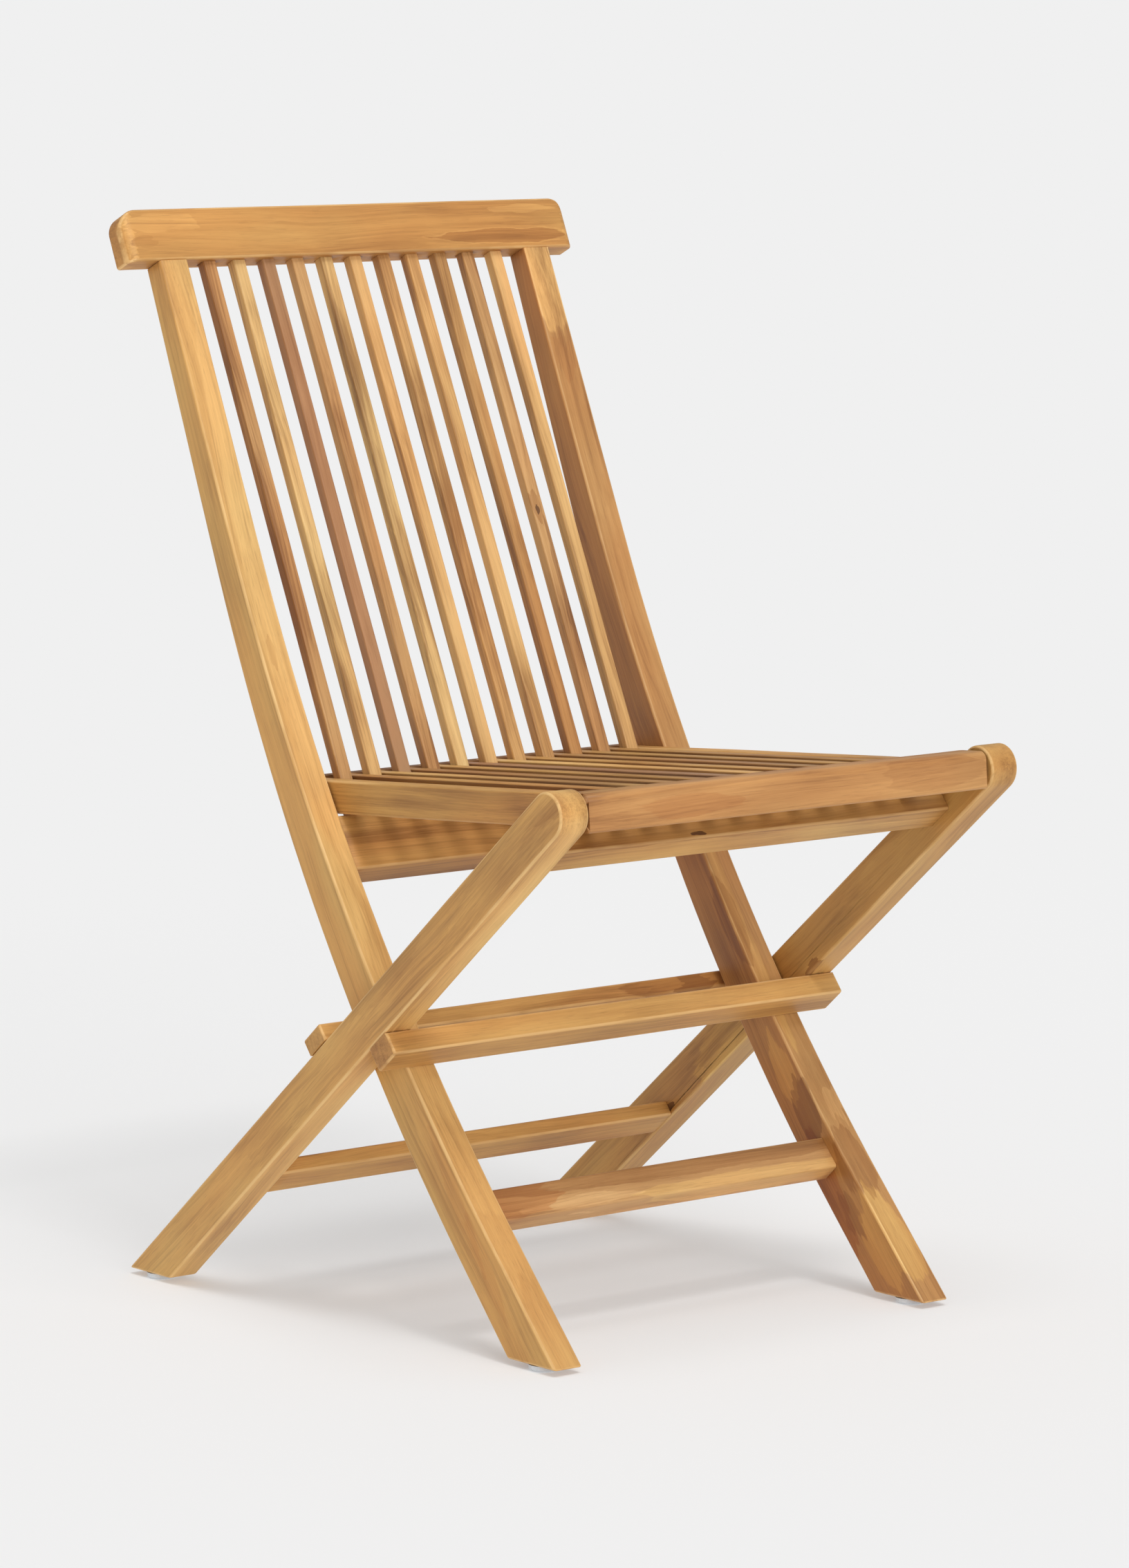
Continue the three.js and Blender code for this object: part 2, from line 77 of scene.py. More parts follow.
def make_camera():
    forward = Vector((
        -math.sin(CAMERA_TURN) * math.cos(CAMERA_TILT),
        math.cos(CAMERA_TURN) * math.cos(CAMERA_TILT),
        math.sin(CAMERA_TILT),
    ))
    level = Vector((math.cos(CAMERA_TURN), math.sin(CAMERA_TURN), 0))
    square = level.cross(forward)
    right = math.cos(CAMERA_ROLL) * level + math.sin(CAMERA_ROLL) * square
    up = math.cos(CAMERA_ROLL) * square - math.sin(CAMERA_ROLL) * level
    camera = bpy.data.objects.new("camera", bpy.data.cameras.new("camera"))
    camera.data.lens = CAMERA_LENS
    camera.data.sensor_width = 36
    camera.data.clip_end = 100
    turn = Matrix((right, up, -forward)).transposed().to_4x4()
    camera.matrix_world = Matrix.Translation(CAMERA_PLACE) @ turn
    bpy.context.scene.collection.objects.link(camera)
    bpy.context.scene.camera = camera


# ------------------------------------------------------------------- nodes
class Shader:
    """Adds nodes to one node tree and links what it is given to their inputs."""

    def __init__(self, tree):
        self.tree = tree

    def add(self, kind, inputs=(), **settings):
        node = self.tree.nodes.new(kind)
        for name, value in settings.items():
            setattr(node, name, value)
        for name, value in dict(inputs).items():
            if isinstance(value, bpy.types.NodeSocket):
                self.tree.links.new(value, node.inputs[name])
            else:
                node.inputs[name].default_value = value
        return node

    def math(self, operation, a, b=0.0, clamp=False):
        node = self.add("ShaderNodeMath", {0: a, 1: b}, operation=operation, use_clamp=clamp)
        return node.outputs[0]

    def vector(self, operation, a, b=(0, 0, 0)):
        node = self.add("ShaderNodeVectorMath", {0: a, 1: b}, operation=operation)
        is_number = operation in ("DOT_PRODUCT", "LENGTH")
        return node.outputs["Value" if is_number else "Vector"]

    def noise(self, vector, scale, detail=2.0, roughness=0.5):
        inputs = {"Vector": vector, "Scale": scale, "Detail": detail, "Roughness": roughness}
        return self.add("ShaderNodeTexNoise", inputs).outputs["Fac"]

    def layer(self, place, across, along, detail, roughness):
        """Noise that is stretched along the grain; across and along are per metre."""
        stretched = self.vector("MULTIPLY", place, (across, across, along))
        return self.noise(stretched, 1.0, detail, roughness)

    def jitter(self, place, across, along, detail, amount):
        """A vector that wanders to both sides of zero."""
        stretched = self.vector("MULTIPLY", place, (across, across, along))
        inputs = {"Vector": stretched, "Scale": 1.0, "Detail": detail}
        colour = self.add("ShaderNodeTexNoise", inputs).outputs["Color"]
        return self.vector("MULTIPLY", self.vector("SUBTRACT", colour, (0.5, 0.5, 0.5)), amount)

    def span(self, value, low, high, to_low=0.0, to_high=1.0, smooth=True):
        kind = "SMOOTHSTEP" if smooth else "LINEAR"
        inputs = {"Value": value, 1: low, 2: high, 3: to_low, 4: to_high}
        return self.add("ShaderNodeMapRange", inputs, interpolation_type=kind).outputs[0]

    def mix(self, share, a, b, blend="MIX"):
        node = self.add("ShaderNodeMix", data_type="RGBA", blend_type=blend)
        for index, value in ((0, share), (6, a), (7, b)):
            if isinstance(value, bpy.types.NodeSocket):
                self.tree.links.new(value, node.inputs[index])
            else:
                node.inputs[index].default_value = value
        return node.outputs[2]

    def tinted(self, share, colour, tint):
        """The colour times the tint, as far as share goes."""
        return self.mix(share, colour, self.mix(1.0, colour, tint, "MULTIPLY"))


def new_material(name):
    """An empty material and the shader helper of its node tree."""
    material = bpy.data.materials.new(name)
    material.use_nodes = True
    material.node_tree.nodes.clear()
    return material, Shader(material.node_tree)


def linear(red, green, blue):
    """An sRGB colour from 0 to 255 as the linear RGBA that a shader takes."""
    share = [c / 255 for c in (red, green, blue)]
    return (*[c / 12.92 if c <= 0.04045 else ((c + 0.055) / 1.055) ** 2.4 for c in share], 1.0)


def shade(colour, factors):
    """A linear colour times three factors, never past white."""
    return tuple(min(1.0, c * f) for c, f in zip(colour[:3], factors)) + (1.0,)


# ---------------------------------------------------------------- teak tones
TONES = {
    "straw": (209, 167, 108),
    "golden": (213, 166, 100),
    "wheat": (200, 152, 94),
    "honey": (198, 147, 82),
    "amber": (190, 137, 73),
    "olive": (188, 142, 80),
    "tan": (186, 137, 85),
    "russet": (178, 128, 74),
    "brown": (170, 122, 70),
    "rose": (158, 112, 74),
}
DARK_WOOD = (0.56, 0.47, 0.39)           # a board's dark figure, as factors of its tone
LIGHT_WOOD = (1.24, 1.34, 1.46)          # and its light figure
# pale colour of the arrises: wear and painted highlight
WORN_AND_HIGHLIGHT = linear(232, 194, 136)
HEART = linear(112, 66, 32)
REDDISH = (1.02, 0.96, 0.9, 1.0)
GREENISH = (0.98, 1.02, 1.02, 1.0)
# painted shade: how much darker a side face is than a front
SIDE_SHADE = (0.98, 0.93, 0.8, 1.0)
END_GRAIN = (0.94, 0.88, 0.8, 1.0)

# layers of the figure: per metre across the grain and along it, detail, roughness
DRIFT = (34, 1.9, 2.0, 0.5)
CLOUD = (20, 8, 2.0, 0.5)
BAND = (150, 2.2, 3.0, 0.55)
FIBRE = (620, 7, 3.0, 0.6)
FINE = (1500, 30, 2.0, 0.5)
STREAK = (240, 1.5, 2.0, 0.5)
PORE = (2300, 60, 1.0, 0.5)
HUE = (17, 5, 2.0, 0.5)
RUB_AND_HIGHLIGHT = (80, 14, 3.0, 0.6)
WANDER = (9, 3.0, 2.0)                   # across, along, detail
WANDER_REACH = (0.03, 0.03, 0)           # metres
RINGS = {
    "Scale": 54.0,
    "Distortion": 3.4,
    "Detail": 3.0,
    "Detail Scale": 1.2,
    "Detail Roughness": 0.6,
}
RING_STRETCH = (1, 1, 0.05)
RING_SHARE = 0.13
STREAK_SHARE = 0.2
PORE_SHARE = 0.22
FIBRE_ROUGH = 0.16
CLOUD_ROUGH = 0.12
LEAST_ROUGH = 0.42

PITH = (0.05, 0.02)                      # metres from the board's middle to its rings' centre
BOARD_STEP = 3.7                         # metres along the grain from one seed to the next
BOW_PEAK = -0.08                         # metres along a stile, where it bows the most
STILE_BOW = 0.22                         # per metre, so the grain follows the stile's bow
EDGE_BLUR = 0.04                         # of a patch's half size
RAGGED = (120, 26, 4.0)                  # a patch's outline: across, along, detail
FRAY = (0.008, 0.008, 0.06)              # metres, how far the outline wanders

GRAIN_INPUTS = (
    ("Place", "NodeSocketVector"),
    ("Dark", "NodeSocketColor"),
    ("Body", "NodeSocketColor"),
    ("Light", "NodeSocketColor"),
    ("Contrast", "NodeSocketFloat"),
    ("Side", "NodeSocketFloat"),
    ("Arris", "NodeSocketFloat"),
    ("End", "NodeSocketFloat"),
)
GRAIN_OUTPUTS = (
    ("Color", "NodeSocketColor"),
    ("Roughness", "NodeSocketFloat"),
    ("Height", "NodeSocketFloat"),
)


def figured_wood(s, given, moved, cloud, fibre, fine):
    """Growth rings cut lengthways and layers of noise, from the dark figure to the light."""
    rings = s.add(
        "ShaderNodeTexWave", {"Vector": s.vector("MULTIPLY", moved, RING_STRETCH), **RINGS},
        wave_type="RINGS", rings_direction="Z", wave_profile="SAW",
    ).outputs["Fac"]
    drift = s.layer(moved, *DRIFT)
    band = s.layer(moved, *BAND)
    tone = s.math("MULTIPLY", s.math("SUBTRACT", rings, 0.5), RING_SHARE)
    shares = ((drift, 1.7), (cloud, 1.1), (band, 0.75), (fibre, 0.8), (fine, 0.25))
    for value, share in shares:
        tone = s.math("ADD", tone, s.math("MULTIPLY", s.math("SUBTRACT", value, 0.5), share))
    tone = s.math("ADD", s.math("MULTIPLY", tone, given["Contrast"]), 0.5, clamp=True)
    low = s.mix(s.span(tone, 0.05, 0.5, smooth=False), given["Dark"], given["Body"])
    return s.mix(s.span(tone, 0.5, 0.95, smooth=False), low, given["Light"])


def grain_group():
    """Teak figure in a piece's own coordinates, with the grain along Z."""
    tree = bpy.data.node_groups.new("teak grain", "ShaderNodeTree")
    for name, kind in GRAIN_INPUTS:
        tree.interface.new_socket(name, in_out="INPUT", socket_type=kind)
    for name, kind in GRAIN_OUTPUTS:
        tree.interface.new_socket(name, in_out="OUTPUT", socket_type=kind)
    s = Shader(tree)
    given = s.add("NodeGroupInput").outputs
    place = given["Place"]
    moved = s.vector("ADD", s.jitter(place, *WANDER, WANDER_REACH), place)
    cloud = s.layer(place, *CLOUD)
    fibre = s.layer(moved, *FIBRE)
    fine = s.layer(place, *FINE)
    colour = figured_wood(s, given, moved, cloud, fibre, fine)

    # the same board runs from reddish to olive
    hue = s.span(s.layer(place, *HUE), 0.34, 0.66)
    colour = s.mix(1.0, colour, s.mix(hue, REDDISH, GREENISH), "MULTIPLY")
    # painted shade: the side faces, which look along X, are darker than the fronts
    colour = s.tinted(given["Side"], colour, SIDE_SHADE)

    # a few dark mineral lines and open pores
    lines = s.math("MULTIPLY", s.span(s.layer(moved, *STREAK), 0.6, 0.74), STREAK_SHARE)
    colour = s.mix(lines, colour, HEART)
    open_pores = s.span(s.layer(place, *PORE), 0.6, 0.72, 0.0, PORE_SHARE)
    colour = s.mix(open_pores, colour, HEART)

    # sanded arrises show paler, unevenly: part wear, part painted highlight
    rubbed_and_lit = s.span(s.layer(place, *RUB_AND_HIGHLIGHT), 0.36, 0.6, 0.25, 0.85)
    edge = s.math("MULTIPLY", given["Arris"], rubbed_and_lit)
    colour = s.mix(edge, colour, s.mix(0.5, WORN_AND_HIGHLIGHT, given["Light"]))
    # end grain drinks the oil and turns a little darker
    colour = s.tinted(given["End"], colour, END_GRAIN)

    rough = s.math("ADD", LEAST_ROUGH, s.math("MULTIPLY", fibre, FIBRE_ROUGH))
    rough = s.math("ADD", rough, s.math("MULTIPLY", cloud, CLOUD_ROUGH))
    height = s.math("ADD", s.math("MULTIPLY", fibre, 0.6), s.math("MULTIPLY", fine, 0.3))
    height = s.math("SUBTRACT", height, s.math("MULTIPLY", open_pores, 1.4))
    s.add("NodeGroupOutput", {"Color": colour, "Roughness": rough, "Height": height})
    return tree


GRAIN = grain_group()


def own_place(s, turn, bow):
    """The point along the board's own axes, as it is and with the stile's bow taken out."""
    own = s.add("ShaderNodeMapping", {
        "Vector": s.add("ShaderNodeTexCoord").outputs["Object"],
        "Rotation": turn.to_3x3().transposed().to_euler(),
    }).outputs[0]
    along = s.add("ShaderNodeSeparateXYZ", {0: own}).outputs[2]
    from_peak = s.math("SUBTRACT", along, BOW_PEAK)
    rise = s.math("MULTIPLY", s.math("MULTIPLY", from_peak, from_peak), bow)
    shift = s.add("ShaderNodeCombineXYZ", {1: rise}).outputs[0]
    return own, s.vector("ADD", own, shift)


def faces_of(s, turn):
    """How much of a side face and of an end face this point is on."""
    normal = s.add("ShaderNodeTexCoord").outputs["Normal"]
    grain = tuple(turn.col[2].to_3d())
    end = s.span(s.math("ABSOLUTE", s.vector("DOT_PRODUCT", normal, grain)), 0.6, 0.9)
    side = 0.0                           # a rail's ends are end grain, not sides
    if abs(grain[0]) < 0.5:
        sideways = s.add("ShaderNodeSeparateXYZ", {0: normal}).outputs[0]
        side = s.span(s.math("ABSOLUTE", sideways), 0.5, 0.9)
    return side, end


def patched(s, colour, own, shifted, side, patches):
    """Tints each patch's ellipsoid, whose outline is frayed along the grain."""
    frayed = s.vector("ADD", s.jitter(shifted, *RAGGED, FRAY), own)
    for faces, centre, half, tint, strength in patches:
        apart = s.vector("SUBTRACT", frayed, centre)
        length = s.vector("LENGTH", s.vector("MULTIPLY", apart, tuple(1 / h for h in half)))
        mask = s.span(length, 1 - EDGE_BLUR, 1 + EDGE_BLUR, strength, 0.0)
        if faces == "front":
            mask = s.math("MULTIPLY", mask, s.math("SUBTRACT", 1.0, side))
        if faces == "side":
            mask = s.math("MULTIPLY", mask, side)
        colour = s.tinted(mask, colour, tint)
    return colour


def teak(name, turn, tone, seed, contrast=1.0, bow=0.0, patches=()):
    """A board's own material. Patches are (faces, centre, half size, tint, strength) along
    the board's own axes: X and Y across the grain, Z along it from the middle."""
    material, s = new_material(f"teak_{name}")
    own, straight = own_place(s, turn, bow)
    shifted = s.vector("ADD", straight, (*PITH, BOARD_STEP * seed))
    side, end = faces_of(s, turn)
    body = linear(*TONES[tone])
    wood = s.add("ShaderNodeGroup", {
        "Place": shifted,
        "Dark": shade(body, DARK_WOOD),
        "Body": body,
        "Light": shade(body, LIGHT_WOOD),
        "Contrast": contrast,
        "Side": side,
        "Arris": s.add("ShaderNodeAttribute", attribute_name="arris").outputs["Fac"],
        "End": end,
    }, node_tree=GRAIN).outputs
    bump = s.add("ShaderNodeBump", {
        "Strength": 0.3, "Distance": 0.0003, "Height": wood["Height"],
    })
    surface = s.add("ShaderNodeBsdfPrincipled", {
        "Base Color": patched(s, wood["Color"], own, shifted, side, patches),
        "Roughness": wood["Roughness"],
        "IOR": 1.46,
        "Coat Weight": 0.1,
        "Coat Roughness": 0.38,
        "Normal": bump.outputs["Normal"],
    })
    s.add("ShaderNodeOutputMaterial", {"Surface": surface.outputs[0]})
    return material


# ------------------------------------------------------------------- pieces
MERGE = 0.01 * MM
FLAT_ANGLE = math.radians(0.3)           # edges flatter than this are dissolved
ARRIS_ANGLE = math.radians(22)
SHARP_ANGLE = math.radians(32)           # edges past this are shaded as edges
NEAR = 1.6 * MM                          # nearer than this, an edge is inside a joint
PIVOT_NEAR = 5.0 * MM                    # the same across the seat's pivot gap
BEVEL_STEPS = 4
WAVE_STATION = 24 * MM
WAVE_HEIGHT = 0.22 * MM
WAVE_SCALE = 9                           # per metre
WAVE_SHIFT = (7.3, 3.1)                  # per seed, so no two boards wander alike


def near_trees(node, reach):
    """Search trees of the CAD nodes within reach of this one."""
    low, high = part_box(node)
    trees = []
    for other, obj in frame["nodes"].items():
        if other == node:
            continue
        other_low, other_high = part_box(other)
        apart = max(max(low[i] - other_high[i], other_low[i] - high[i]) for i in range(3))
        if apart < reach:
            corners = [v.co.copy() for v in obj.data.vertices]
            faces = [tuple(p.vertices) for p in obj.data.polygons]
            trees.append(BVHTree.FromPolygons(corners, faces))
    return trees


def touches(trees, point, reach):
    """Whether another piece is within reach of the point."""
    return any(tree.find_nearest(point, reach)[0] is not None for tree in trees)


def grain_turn(node):
    """Turns the piece's own Z axis along its grain: along X, or the long way of the side view."""
    points = np.array([v.co for v in frame["nodes"][node].data.vertices])
    size = points.max(0) - points.min(0)
    flat = points[:, 1:] - points[:, 1:].mean(0)
    longest = Vector((0, *np.linalg.eigh(flat.T @ flat)[1][:, -1])).normalized()
    sideways = Vector((1, 0, 0))
    if size[0] >= max(size[1], size[2]):
        grain, across = sideways, longest
    else:
        grain, across = longest, sideways
    if grain.z < 0:
        grain = -grain
    if across.z < 0:
        across = -across
    return Matrix((across, grain.cross(across), grain)).transposed().to_4x4()


def open_mesh(node):
    """The CAD node's mesh, welded, without the edges inside its flat faces."""
    bm = bmesh.new()
    bm.from_mesh(frame["nodes"][node].data)
    bmesh.ops.remove_doubles(bm, verts=bm.verts, dist=MERGE)
    bmesh.ops.dissolve_limit(bm, angle_limit=FLAT_ANGLE, verts=bm.verts, edges=bm.edges)
    return bm


def sharp_edges(bm, trees, reach):
    """The piece's own arrises, without the edges inside its joints."""
    found = []
    for edge in bm.edges:
        if len(edge.link_faces) != 2 or not edge.is_convex:
            continue
        if edge.calc_face_angle(0) < ARRIS_ANGLE:
            continue
        a, b = (v.co for v in edge.verts)
        if all(touches(trees, p, reach) for p in (a, b, (a + b) / 2)):
            continue
        found.append(edge)
    return found


def round_edges(bm, edges, radius, steps=BEVEL_STEPS):
    """Rounds the edges and gives back the new faces."""
    made = bmesh.ops.bevel(
        bm, geom=edges, offset=radius, offset_type="OFFSET", segments=steps,
        profile=0.5, affect="EDGES", clamp_overlap=False,
    )
    return made["faces"]


def mark_arrises(bm, faces):
    """The layer "arris" is 1 along the middle of each rounding and 0 at its sides."""
    layer = bm.verts.layers.float.new("arris")
    rounded = set(faces)
    for vert in {v for face in faces for v in face.verts}:
        if all(face in rounded for face in vert.link_faces):
            vert[layer] = 1.0


def cut_across(bm, axis, stations):
    """Adds edges where the planes across the axis meet the mesh."""
    for station in stations:
        geometry = bm.verts[:] + bm.edges[:] + bm.faces[:]
        bmesh.ops.bisect_plane(
            bm, geom=geometry, dist=MERGE, plane_co=axis * station, plane_no=axis,
        )


def wave(bm, turn, seed):
    """Cuts the piece across its grain and lets the hand-sanded faces wander a little."""
    grain = turn.col[2].to_3d()
    runs = [v.co.dot(grain) for v in bm.verts]
    first, last = min(runs), max(runs)
    count = max(1, round((last - first) / WAVE_STATION))
    cut_across(bm, grain, [first + (last - first) * i / count for i in range(1, count)])
    shift = Vector((seed * WAVE_SHIFT[0], seed * WAVE_SHIFT[1], 0))
    for vert in bm.verts:
        vert.co += noise.noise_vector(vert.co * WAVE_SCALE + shift) * WAVE_HEIGHT


def finish_piece(name, bm, node, material):
    """Places the mesh as a piece that rides on the node's body and replaces the node."""
    mesh = bpy.data.meshes.new(name)
    bm.to_mesh(mesh)
    bm.free()
    centre = sum(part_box(node), Vector()) / 2
    mesh.transform(Matrix.Translation(-centre))
    for polygon in mesh.polygons:
        polygon.use_smooth = True
    mesh.set_sharp_from_angle(angle=SHARP_ANGLE)
    mesh.materials.append(material)
    piece = bpy.data.objects.new(name, mesh)
    piece.location = centre
    bpy.context.scene.collection.objects.link(piece)
    smooth = piece.modifiers.new("even shading", "WEIGHTED_NORMAL")
    smooth.keep_sharp = True
    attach(piece, frame["nodes"][node]["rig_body"])
    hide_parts(node)


def wooden(node, slot, radius, seed, **look):
    """A board of its own, with rounded arrises, in place of the CAD node."""
    reach = PIVOT_NEAR if node == "seat_front_rail" else NEAR
    trees = near_trees(node, reach)
    bm = open_mesh(node)
    turn = grain_turn(node)
    if node == "seat_front_rail":
        round_seat_edge(bm, trees, reach)
    faces = round_edges(bm, sharp_edges(bm, trees, reach), radius)
    mark_arrises(bm, faces)
    bmesh.ops.triangulate(bm, faces=bm.faces)
    if node == "top_rail":
        round_rail_ends(bm, turn)
    wave(bm, turn, seed)
    bmesh.ops.recalc_face_normals(bm, faces=bm.faces)
    material = teak(node, turn, seed=seed, **look)
    finish_piece(f"{node}_wood", bm, node, material)


# -------------------------------------------------------------- wooden pieces
FRAME_ARRIS = 2.2 * MM
SLAT_ARRIS = 1.5 * MM
RAIL_CORNER = 10 * MM
RAIL_CORNER_STEPS = 8
SEAT_EDGE = 7 * MM
SEAT_EDGE_STEPS = 6
SQUARELY = 0.9                           # of a normal's length, along an axis


def round_rail_ends(bm, turn):
    """Seen from above, the top rail's ends turn softly out of its front face."""
    forward = turn.col[1].to_3d()
    if forward.y > 0:
        forward = -forward
    half_width = max(v.co.x for v in bm.verts)
    start = half_width - RAIL_CORNER
    steps = [start + RAIL_CORNER * i / RAIL_CORNER_STEPS for i in range(RAIL_CORNER_STEPS)]
    cut_across(bm, Vector((1, 0, 0)), steps + [-x for x in steps])
    depths = [v.co.dot(forward) for v in bm.verts]
    rear, front = min(depths), max(depths)
    for vert, depth in zip(bm.verts, depths):
        past = min(1.0, max(0.0, (abs(vert.co.x) - start) / RAIL_CORNER))
        drop = RAIL_CORNER * (1 - math.sqrt(1 - past * past))
        vert.co -= forward * drop * (depth - rear) / (front - rear)


def round_seat_edge(bm, trees, reach):
    """The seat's front rail is rounded most where the legs of the sitter rest."""
    chosen = []
    for edge in sharp_edges(bm, trees, reach):
        normals = [face.normal for face in edge.link_faces]
        faces_forward = any(n.y < -SQUARELY for n in normals)
        faces_up = any(n.z > SQUARELY for n in normals)
        if faces_forward and faces_up:
            chosen.append(edge)
    round_edges(bm, chosen, SEAT_EDGE, SEAT_EDGE_STEPS)


# tints that a patch multiplies its wood by, among them painted shade and a painted highlight; the
# marks below are teak()'s patches
SAP = (1.42, 1.6, 1.7, 1.0)
# pale wood, and on the right stile a painted highlight
PALE_AND_HIGHLIGHT = (1.2, 1.28, 1.4, 1.0)
OLIVE_SAP = (1.26, 1.36, 1.24, 1.0)
SMOKY = (0.72, 0.62, 0.52, 1.0)
RUDDY = (0.86, 0.68, 0.54, 1.0)
DARK = (0.5, 0.38, 0.3, 1.0)
# painted shade for the side faces in the gaps between the seat slats
GAP_SHADE = (0.42, 0.36, 0.32, 1.0)
KNOT = (0.22, 0.15, 0.12, 1.0)
MIDDLE = (0.0, 0.0, 0.0)
WHOLE = (1.0, 1.0, 1.0)                  # a half size past every board's edges

LEFT_STILE_MARKS = (
    ("front", (0.004, -0.01, 0.508), (0.05, 0.3, 0.1), SAP, 1.0),
    ("front", (0.004, -0.01, 0.385), (0.05, 0.3, 0.016), RUDDY, 0.3),
    # painted shade: both side faces are darkened as a whole, as in the back slats' shade
    ("side", MIDDLE, WHOLE, RUDDY, 0.5),
    ("all", (-0.014, 0.06, -0.268), (0.006, 0.012, 0.032), OLIVE_SAP, 0.9),
    ("all", (-0.014, 0.052, -0.309), (0.008, 0.014, 0.03), DARK, 0.6),
    ("all", (-0.014, 0.06, -0.382), (0.008, 0.014, 0.06), RUDDY, 0.9),
    ("all", (-0.005, 0.027, -0.365), (0.016, 0.014, 0.035), SMOKY, 0.8),
    ("all", (0.004, 0.037, -0.311), (0.008, 0.012, 0.018), PALE_AND_HIGHLIGHT, 0.9),
    ("all", (-0.004, 0.02, -0.44), (0.016, 0.03, 0.05), OLIVE_SAP, 0.9),
    ("all", (-0.014, 0.045, -0.405), (0.006, 0.01, 0.02), SMOKY, 0.6),
    ("all", (-0.011, 0.052, -0.132), (0.008, 0.014, 0.04), SMOKY, 0.7),
    ("front", (-0.007, 0.05, -0.15), (0.007, 0.06, 0.11), OLIVE_SAP, 0.6),
)
RIGHT_STILE_MARKS = (
    # painted highlight: a paler zone on the stile's front, above its middle
    ("all", (0.014, 0.03, 0.2), (0.022, 0.08, 0.3), PALE_AND_HIGHLIGHT, 0.5),
    ("all", (-0.002, 0.04, 0.143), (0.004, 0.01, 0.014), SMOKY, 0.4),
    ("front", (0.0, 0.02, -0.5), (0.06, 0.3, 0.2), SMOKY, 0.2),
    ("front", (0.0, 0.02, -0.5), (0.06, 0.3, 0.14), SMOKY, 0.25),
    ("front", (0.006, 0.02, -0.5), (0.03, 0.3, 0.08), SMOKY, 0.25),
    ("side", (-0.013, 0.046, -0.34), (0.01, 0.008, 0.06), RUDDY, 0.3),
    ("side", (-0.013, 0.041, -0.4), (0.01, 0.007, 0.05), RUDDY, 0.3),
)
TOP_RAIL_MARKS = (
    ("all", (0.0, 0.0, -0.236), (0.1, 0.1, 0.012), PALE_AND_HIGHLIGHT, 0.9),
    ("all", (0.0, 0.0, 0.236), (0.1, 0.1, 0.012), PALE_AND_HIGHLIGHT, 0.6),
    ("all", (-0.0105, 0.011, 0.156), (0.0078, 0.03, 0.074), PALE_AND_HIGHLIGHT, 0.6),
    ("all", (-0.0105, 0.011, 0.156), (0.0068, 0.03, 0.069), SMOKY, 0.95),
    ("all", (0.014, 0.011, 0.18), (0.004, 0.02, 0.035), PALE_AND_HIGHLIGHT, 0.9),
    ("all", (0.01, 0.011, -0.19), (0.008, 0.02, 0.04), PALE_AND_HIGHLIGHT, 0.6),
    ("all", (-0.006, 0.011, -0.21), (0.006, 0.02, 0.014), SMOKY, 0.3),
)
STRETCHER_MARKS = (
    ("all", (0.01, 0.01, 0.02), (0.01, 0.02, 0.22), SMOKY, 0.8),
    ("all", (0.002, 0.01, -0.15), (0.016, 0.02, 0.045), RUDDY, 0.8),
    ("all", (-0.009, 0.01, -0.09), (0.005, 0.02, 0.06), PALE_AND_HIGHLIGHT, 0.9),
    ("all", (-0.011, 0.01, 0.09), (0.007, 0.02, 0.13), OLIVE_SAP, 0.7),
)
LEFT_LEG_MARKS = (
    ("side", (0.0, -0.02, -0.045), (0.1, 0.022, 0.07), OLIVE_SAP, 1.0),
    ("all", (-0.013, -0.022, -0.162), (0.004, 0.0045, 0.008), KNOT, 0.8),
    ("all", (-0.013, -0.029, 0.074), (0.004, 0.006, 0.009), DARK, 0.8),
)
RIGHT_LEG_MARKS = (
    ("all", (-0.013, 0.005, 0.094), (0.006, 0.012, 0.06), SMOKY, 0.3),
)
UNDER_RAIL_MARKS = (
    # painted shade: the face under the seat's front rail is darkened along its whole length
    ("all", (0.018, 0.0, 0.0), (0.008, 0.03, 0.4), SMOKY, 0.8),
    ("all", (0.014, 0.006, -0.059), (0.002, 0.002, 0.009), KNOT, 0.9),
)
FRONT_RAIL_MARKS = (
    ("all", (-0.01, 0.012, 0.143), (0.014, 0.014, 0.05), SMOKY, 0.4),
    ("all", (-0.013, 0.007, -0.101), (0.006, 0.012, 0.05), RUDDY, 0.4),
    ("all", (0.004, 0.014, -0.09), (0.006, 0.01, 0.07), PALE_AND_HIGHLIGHT, 0.4),
)
REAR_BAR_MARKS = (
    ("all", (0.013, 0.003, 0.148), (0.014, 0.014, 0.066), SMOKY, 0.9),
    ("all", (0.013, 0.003, 0.15), (0.008, 0.012, 0.02), DARK, 0.6),
)

